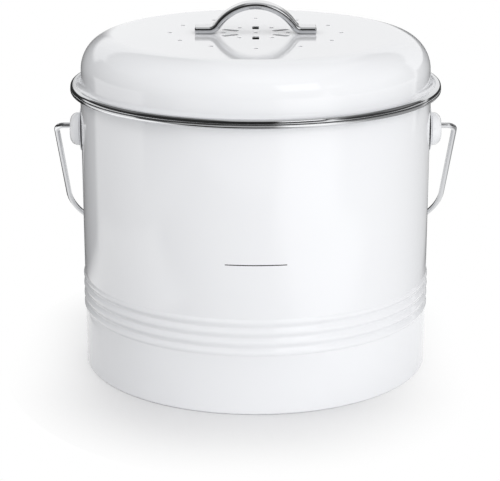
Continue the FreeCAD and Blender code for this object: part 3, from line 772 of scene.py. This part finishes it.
class COMPOST_OT_strap(bpy.types.Operator):
    """Bend the polished strap that the lid is lifted by"""
    bl_idname = "compost.strap"
    bl_label = "Strap"

    def execute(self, context):
        sizes = context.scene.lid_sizes
        half = sizes.strap_thickness / 2
        base = STRAP_LOW.z
        side = STRAP_HIGH.y
        tip = STRAP_HIGH.x
        slope = sizes.leg_slope
        outer_apex = STRAP_HIGH.z + sizes.crown_round * (1 / math.cos(slope) - 1)
        leg_corner = (outer_apex - base - sizes.strap_thickness) / math.tan(slope)
        corner = leg_corner - half * math.tan(slope / 2)
        apex = outer_apex - half / math.cos(slope)
        section = rounded([
            (-side, base, sizes.strap_round),
            (side, base, sizes.strap_round),
            (side, base + sizes.strap_thickness, sizes.strap_round),
            (-side, base + sizes.strap_thickness, sizes.strap_round),
        ], closed=True)
        draw_line([Vector((tip, point.x, point.y)) for point in section])
        level = base + half
        carry_along([
            (Vector((tip, 0.0, level)), 0.0),
            (Vector((corner, 0.0, level)), sizes.foot_bend + half),
            (Vector((0.0, 0.0, apex)), sizes.crown_round - half),
            (Vector((-corner, 0.0, level)), sizes.foot_bend + half),
            (Vector((-tip, 0.0, level)), 0.0),
        ])
        cap_ends()
        bpy.ops.mesh.select_all(action="DESELECT")
        bpy.ops.object.mode_set(mode="OBJECT")
        strap = context.object
        for edge in strap.data.edges:
            ends = [strap.data.vertices[end].co for end in edge.vertices]
            edge.select = all(abs(abs(end.x) - tip) < MERGE for end in ends)
        bpy.ops.object.mode_set(mode="EDIT")
        bpy.ops.mesh.select_mode(type="EDGE")
        bpy.ops.mesh.bevel(offset=sizes.strap_tip, segments=TIP_STEPS, clamp_overlap=True)
        bpy.ops.mesh.select_mode(type="VERT")
        close_seams()
        bpy.ops.object.mode_set(mode="OBJECT")
        finish_piece(strap, "polished_strap", "lid", "polished_steel", polished_stainless, "lid_handle")
        return {"FINISHED"}


class COMPOST_OT_filter(bpy.types.Operator):
    """Cut the charcoal foam filter and open its pores"""
    bl_idname = "compost.filter"
    bl_label = "Charcoal filter"

    def execute(self, context):
        sizes = context.scene.lid_sizes
        middle = (FILTER_LOW + FILTER_HIGH) / 2
        select_none()
        bpy.ops.mesh.primitive_cylinder_add(vertices=FOAM_SIDES, radius=FILTER_HIGH.x, location=middle,
                                            depth=FILTER_HIGH.z - FILTER_LOW.z)
        foam = context.object
        bpy.ops.object.transform_apply(location=True, rotation=True, scale=True)
        apply_modifier(foam, "BEVEL", width=sizes.foam_skin, segments=FOAM_STEPS, limit_method="ANGLE")
        apply_modifier(foam, "REMESH", mode="VOXEL", voxel_size=sizes.foam_mesh)
        cells = bpy.data.textures.new("foam_cells", "VORONOI")
        cells.noise_scale = sizes.foam_cell
        apply_modifier(foam, "DISPLACE", texture=cells, texture_coords="LOCAL", strength=-sizes.foam_skin,
                       mid_level=0.0)
        finish_piece(foam, "foam_filter", "lid", "charcoal_foam", charcoal_foam_pad, "charcoal_filter")
        return {"FINISHED"}


class COMPOST_OT_plated_parts(bpy.types.Operator):
    """Give the screws, washers and clips under the lid their zinc plating"""
    bl_idname = "compost.plated_parts"
    bl_label = "Plated parts"

    def execute(self, context):
        for subpart in frame["record"]["subparts"]:
            if subpart["material_slot"] == "plated_steel":
                materials = frame["nodes"][subpart["node"]].data.materials
                materials.clear()
                materials.append(material_of(zinc_plated_steel))
        return {"FINISHED"}


def seen_rays(tree):
    """1 for rays from the camera, from mirrors and through glass, and 0 for light that falls on the bin."""
    ray = add(tree, "ShaderNodeLightPath", {})
    mirrored = add(tree, "ShaderNodeMath", {"operation": "MAXIMUM"},
                   [(ray.outputs["Is Glossy Ray"], 0), (ray.outputs["Is Transmission Ray"], 1)])
    seen = add(tree, "ShaderNodeMath", {"operation": "MAXIMUM"},
               [(ray.outputs["Is Camera Ray"], 0), (mirrored.outputs["Value"], 1)])
    return seen.outputs["Value"]


def studio_paper(tree, place):
    """Matt white paper, which fades to plain white away from the bin.

    The fade is seen by the camera and in reflections, and the paper keeps the bin's shadow."""
    studio = bpy.context.scene.studio_sizes
    where = place.outputs["Object"]
    least = add(tree, "ShaderNodeVectorMath", {"operation": "MAXIMUM", 1: studio.shade_start}, [(where, 0)])
    spine = add(tree, "ShaderNodeVectorMath", {"operation": "MINIMUM", 1: studio.shade_end},
                [(least.outputs["Vector"], 0)])
    far = add(tree, "ShaderNodeVectorMath", {"operation": "DISTANCE"},
              [(where, 0), (spine.outputs["Vector"], 1)])
    fade = add(tree, "ShaderNodeMapRange", {"interpolation_type": "SMOOTHSTEP",
                                            "From Min": studio.fade_start, "From Max": studio.fade_end},
               [(far.outputs["Value"], "Value")])
    share = add(tree, "ShaderNodeMath", {"operation": "MULTIPLY"},
                [(fade.outputs["Result"], 0), (seen_rays(tree), 1)])
    grain = add(tree, "ShaderNodeTexNoise", {"Scale": 1 / GRAIN_WIDTH}, [(where, "Vector")])
    tooth = add(tree, "ShaderNodeBump", {"Strength": 0.1, "Distance": GRAIN_DEPTH},
                [(grain.outputs["Fac"], "Height")])
    colour_of_paper = opaque(bpy.context.scene.bin_colours.paper)
    paper = add(tree, "ShaderNodeBsdfPrincipled", {"Base Color": colour_of_paper, "Roughness": 0.7},
                [(tooth.outputs["Normal"], "Normal")])
    white = add(tree, "ShaderNodeEmission", {"Strength": 1.0})
    both = add(tree, "ShaderNodeMixShader", {}, [
        (share.outputs["Value"], "Fac"), (paper.outputs["BSDF"], 1), (white.outputs["Emission"], 2)])
    return both.outputs["Shader"]


def card_face(tree, place, tone, soft):
    """An even glow, which fades out over a soft share of each side."""
    spread = add(tree, "ShaderNodeVectorMath", {"operation": "SUBTRACT", 1: (0.5, 0.5, 0.0)},
                 [(place.outputs["UV"], 0)])
    reach = add(tree, "ShaderNodeVectorMath", {"operation": "ABSOLUTE"}, [(spread.outputs["Vector"], 0)])
    sides = add(tree, "ShaderNodeSeparateXYZ", {}, [(reach.outputs["Vector"], "Vector")])
    edge = add(tree, "ShaderNodeMath", {"operation": "MAXIMUM"},
               [(sides.outputs["X"], 0), (sides.outputs["Y"], 1)])
    fade = add(tree, "ShaderNodeMapRange", {"interpolation_type": "SMOOTHSTEP", "From Min": 0.5,
                                            "From Max": 0.5 - soft}, [(edge.outputs["Value"], "Value")])
    glow = add(tree, "ShaderNodeEmission", {"Strength": tone})
    clear = add(tree, "ShaderNodeBsdfTransparent", {})
    both = add(tree, "ShaderNodeMixShader", {}, [
        (fade.outputs["Result"], "Fac"), (clear.outputs["BSDF"], 1), (glow.outputs["Emission"], 2)])
    return both.outputs["Shader"]


def studio_world(studio):
    """White where it is seen or mirrored, and a soft light, strongest from the front and the right."""
    world = bpy.data.worlds.new("studio")
    world.use_nodes = True
    tree = world.node_tree
    tree.nodes.clear()
    place = add(tree, "ShaderNodeTexCoord", {})
    slope = add(tree, "ShaderNodeVectorMath", {"operation": "DOT_PRODUCT", 1: studio.light_slope},
                [(place.outputs["Generated"], 0)])
    soft = add(tree, "ShaderNodeMath", {"operation": "ADD", 1: studio.light_level},
               [(slope.outputs["Value"], 0)])
    strength = add(tree, "ShaderNodeMix", {"data_type": "FLOAT", 3: 1.0},
                   [(seen_rays(tree), 0), (soft.outputs["Value"], 2)])
    light = add(tree, "ShaderNodeBackground", {"Color": WHITE}, [(strength.outputs[0], "Strength")])
    add(tree, "ShaderNodeOutputWorld", {}, [(light.outputs["Background"], "Surface")])
    return world


# Lamps that face the bin: bearing in degrees from the front towards the right, distance and height, then
# the lamp's width, height and brightness.
SOFTBOXES = {
    "front_softbox": (29.0, 1.2, 0.9, 0.62, 0.5, 1.7),
    "left_softbox": (-85.0, 1.0, 1.14, 0.5, 0.5, 3.5),
    "low_softbox": (22.0, 1.0, 0.15, 0.7, 0.25, 1.8),
    "back_softbox": (180.0, 1.3, 0.45, 1.2, 0.8, 2.2),
}
# The one lamp that mirrors show, as the highlight on the lid's shoulder.
HIGHLIGHT = "front_softbox"
# Cards give the steel the light and dark bands that it mirrors. A tone of 0 is black, 1 is the white of the
# background, and more is brighter. The soft share of each side fades out.
# Cards that lie level: place, width, depth, tone and soft share.
LEVEL_CARDS = {
    "dark_table": ((-0.15, -0.36, 0.2 * MM), 0.6, 0.5, 0.03, 0.2),
    "dark_table_left": ((-0.23, 0.38, 0.3 * MM), 0.15, 0.6, 0.03, 0.1),
    "dark_table_right": ((0.39, 0.2, 0.3 * MM), 0.45, 0.85, 0.4, 0.1),
    "white_table_left": ((-0.29, -0.05, 0.4 * MM), 0.26, 0.42, 1.4, 0.2),
    "white_table_front": ((0.24, -0.27, 0.4 * MM), 0.3, 0.3, 1.2, 0.3),
    "light_ceiling": ((0.3, -0.1, 1.5), 1.5, 2.2, 0.62, 0.15),
    "dim_ceiling": ((-1.5, 0.3, 1.55), 2.8, 4.0, 0.2, 0.1),
    "dim_ceiling_right": ((1.8, 0.3, 1.55), 2.6, 4.0, 0.2, 0.1),
}
# Cards that stand facing the bin: bearing, distance and height as for a lamp, then width, height, tone and
# soft share.
STANDING_CARDS = {
    "left_flag": (-62.0, 0.2, 0.01, 0.35, 0.08, 0.2, 0.1),
    "dark_front": (0.0, 1.6, 0.7, 3.4, 2.4, 0.02, 0.1),
    "dark_front_left": (-52.0, 1.55, 0.6, 1.7, 2.2, 0.03, 0.1),
    "grey_low": (0.0, 0.58, 0.06, 1.6, 0.18, 0.6, 0.2),
    "grey_right": (85.0, 0.62, 0.03, 0.9, 0.2, 0.42, 0.15),
    "dark_back_left": (-146.0, 1.0, 0.05, 0.95, 0.8, 0.03, 0.15),
    "dark_back_right": (147.0, 1.0, 0.0, 1.0, 0.6, 0.04, 0.12),
    "dark_left": (-95.0, 1.5, 0.46, 2.6, 0.88, 0.03, 0.1),
    "dark_right": (85.0, 1.5, 0.46, 2.6, 0.88, 0.05, 0.1),
    "white_front": (30.0, 0.56, 0.07, 0.46, 0.28, 1.5, 0.3),
    "white_right": (97.0, 0.9, 0.5, 0.6, 0.35, 0.3, 0.25),
}
# Cards that no mirror shows, and that keep some light off the bin, as a studio's flags do.
FLAGS = {"left_flag"}


class COMPOST_OT_studio(bpy.types.Operator):
    """Set up the paper, the lamps, the cards that the steel mirrors, and the camera"""
    bl_idname = "compost.studio"
    bl_label = "Studio"

    def stand(self, bearing, distance, height):
        """A place at a bearing in degrees from the bin's front, and the turn that faces the bin there."""
        way = math.radians(bearing)
        place = Vector((distance * math.sin(way), -distance * math.cos(way), height))
        return place, (PIVOT_MIDDLE - place).to_track_quat("-Z", "Y").to_euler()

    def softbox(self, name, place, turn, width, tall, radiance):
        """A rectangular lamp."""
        select_none()
        bpy.ops.object.light_add(type="AREA", location=place, rotation=turn)
        lamp = bpy.context.object
        lamp.name = name
        lamp.data.shape = "RECTANGLE"
        lamp.data.size = width
        lamp.data.size_y = tall
        lamp.data.energy = radiance * math.pi * width * tall
        lamp.visible_glossy = name == HIGHLIGHT

    def card(self, name, place, turn, width, tall, tone, soft):
        """A card that only mirrors show, or a flag that no mirror shows."""
        select_none()
        bpy.ops.mesh.primitive_plane_add(size=1.0, location=place, rotation=turn)
        card = bpy.context.object
        card.name = name
        card.scale = (width, tall, 1.0)
        bpy.ops.object.transform_apply(location=True, rotation=True, scale=True)
        card.visible_camera = False
        card.visible_diffuse = name in FLAGS
        card.visible_glossy = name not in FLAGS
        card.visible_transmission = False
        card.visible_shadow = False
        face = new_material(name, lambda tree, coordinates: card_face(tree, coordinates, tone, soft))
        card.data.materials.append(face)

    def execute(self, context):
        studio = context.scene.studio_sizes
        select_none()
        bpy.ops.mesh.primitive_circle_add(vertices=PAPER_SIDES, radius=1.0, fill_type="NGON",
                                          location=ORIGIN)
        paper = context.object
        paper.name = "studio_paper"
        paper.scale = studio.paper_reach
        bpy.ops.object.transform_apply(location=False, rotation=False, scale=True)
        paper.data.materials.append(material_of(studio_paper))
        context.scene.world = studio_world(studio)
        for name, (bearing, distance, height, *sheet) in SOFTBOXES.items():
            self.softbox(name, *self.stand(bearing, distance, height), *sheet)
        for name, (place, *sheet) in LEVEL_CARDS.items():
            self.card(name, Vector(place), (0.0, 0.0, 0.0), *sheet)
        for name, (bearing, distance, height, *sheet) in STANDING_CARDS.items():
            self.card(name, *self.stand(bearing, distance, height), *sheet)
        bpy.ops.object.camera_add(location=studio.camera_place,
                                  rotation=(math.pi / 2 - studio.camera_pitch, 0.0, 0.0))
        camera = context.object
        camera.data.lens = studio.camera_lens
        context.scene.camera = camera
        context.scene.view_settings.view_transform = "Standard"
        return {"FINISHED"}


GROUPS = {
    "pail_sizes": PailSizes,
    "lid_sizes": LidSizes,
    "bail_sizes": BailSizes,
    "bin_colours": BinColours,
    "studio_sizes": StudioSizes,
}
OPERATORS = [
    COMPOST_OT_pail,
    COMPOST_OT_rim_bands,
    COMPOST_OT_ears,
    COMPOST_OT_bail,
    COMPOST_OT_lid,
    COMPOST_OT_strap,
    COMPOST_OT_filter,
    COMPOST_OT_plated_parts,
    COMPOST_OT_studio,
]


class COMPOST_PT_sidebar(bpy.types.Panel):
    """Sizes, colours and pieces of the compost bin"""
    bl_idname = "COMPOST_PT_sidebar"
    bl_label = "Compost Bin"
    bl_space_type = "VIEW_3D"
    bl_region_type = "UI"
    bl_category = "Compost Bin"

    def draw(self, context):
        for operator in OPERATORS:
            self.layout.operator(operator.bl_idname)
        for group, kind in GROUPS.items():
            box = self.layout.box()
            for name in kind.__annotations__:
                box.prop(getattr(context.scene, group), name)


CLASSES = [*GROUPS.values(), *OPERATORS, COMPOST_PT_sidebar]


def register():
    for kind in CLASSES:
        bpy.utils.register_class(kind)
    for group, kind in GROUPS.items():
        setattr(bpy.types.Scene, group, bpy.props.PointerProperty(type=kind))


def unregister():
    for group in GROUPS:
        delattr(bpy.types.Scene, group)
    for kind in reversed(CLASSES):
        bpy.utils.unregister_class(kind)


def main():
    """Register the add-on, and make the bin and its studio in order."""
    register()
    bpy.ops.compost.pail()
    bpy.ops.compost.rim_bands()
    bpy.ops.compost.ears()
    bpy.ops.compost.bail()
    bpy.ops.compost.lid()
    bpy.ops.compost.strap()
    bpy.ops.compost.filter()
    bpy.ops.compost.plated_parts()
    bpy.ops.compost.studio()
    select_none()


if __name__ == "__main__":
    main()
